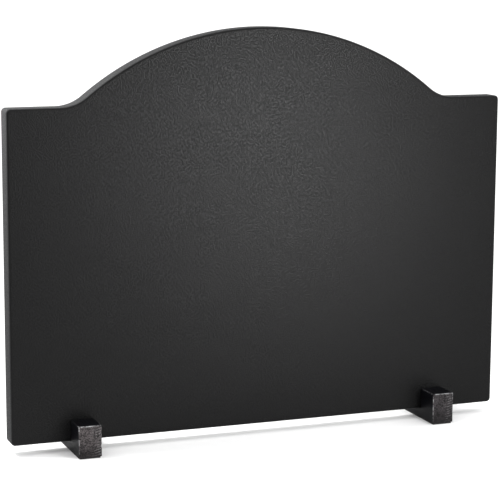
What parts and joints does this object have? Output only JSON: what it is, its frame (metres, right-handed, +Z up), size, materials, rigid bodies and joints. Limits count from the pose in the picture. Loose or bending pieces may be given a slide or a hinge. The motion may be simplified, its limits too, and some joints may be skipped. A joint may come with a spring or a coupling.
{
  "type": "fireplace screen",
  "caption": "Solid arched fireplace screen panel standing upright in slotted bar feet that pull off for storage.",
  "frame": {"origin": "on the floor, under the middle of the panel's length and thickness", "axes": "+X along the panel to the right as seen from the front, +Y out of the panel's back, +Z up"},
  "size_m": [0.61, 0.091, 0.4813],
  "materials": {
    "panel_coat": "matte",
    "foot_steel": "satin",
    "pad_rubber": "matte"
  },
  "bodies": {
    "panel": {"arched_panel": "panel_coat"},
    "left_foot": {"left_foot": "foot_steel", "left_foot_pad": "pad_rubber"},
    "right_foot": {"right_foot": "foot_steel", "right_foot_pad": "pad_rubber"}
  },
  "joints": [
    {"name": "panel_lift_out", "type": "slide", "parent": "left_foot", "child": "panel", "axis": [0, 0, 1], "range_m": [0, 0.035]},
    {"name": "right_foot_pull_off", "type": "slide", "parent": "panel", "child": "right_foot", "axis": [0, 0, -1], "range_m": [0, 0.035]}
  ]
}
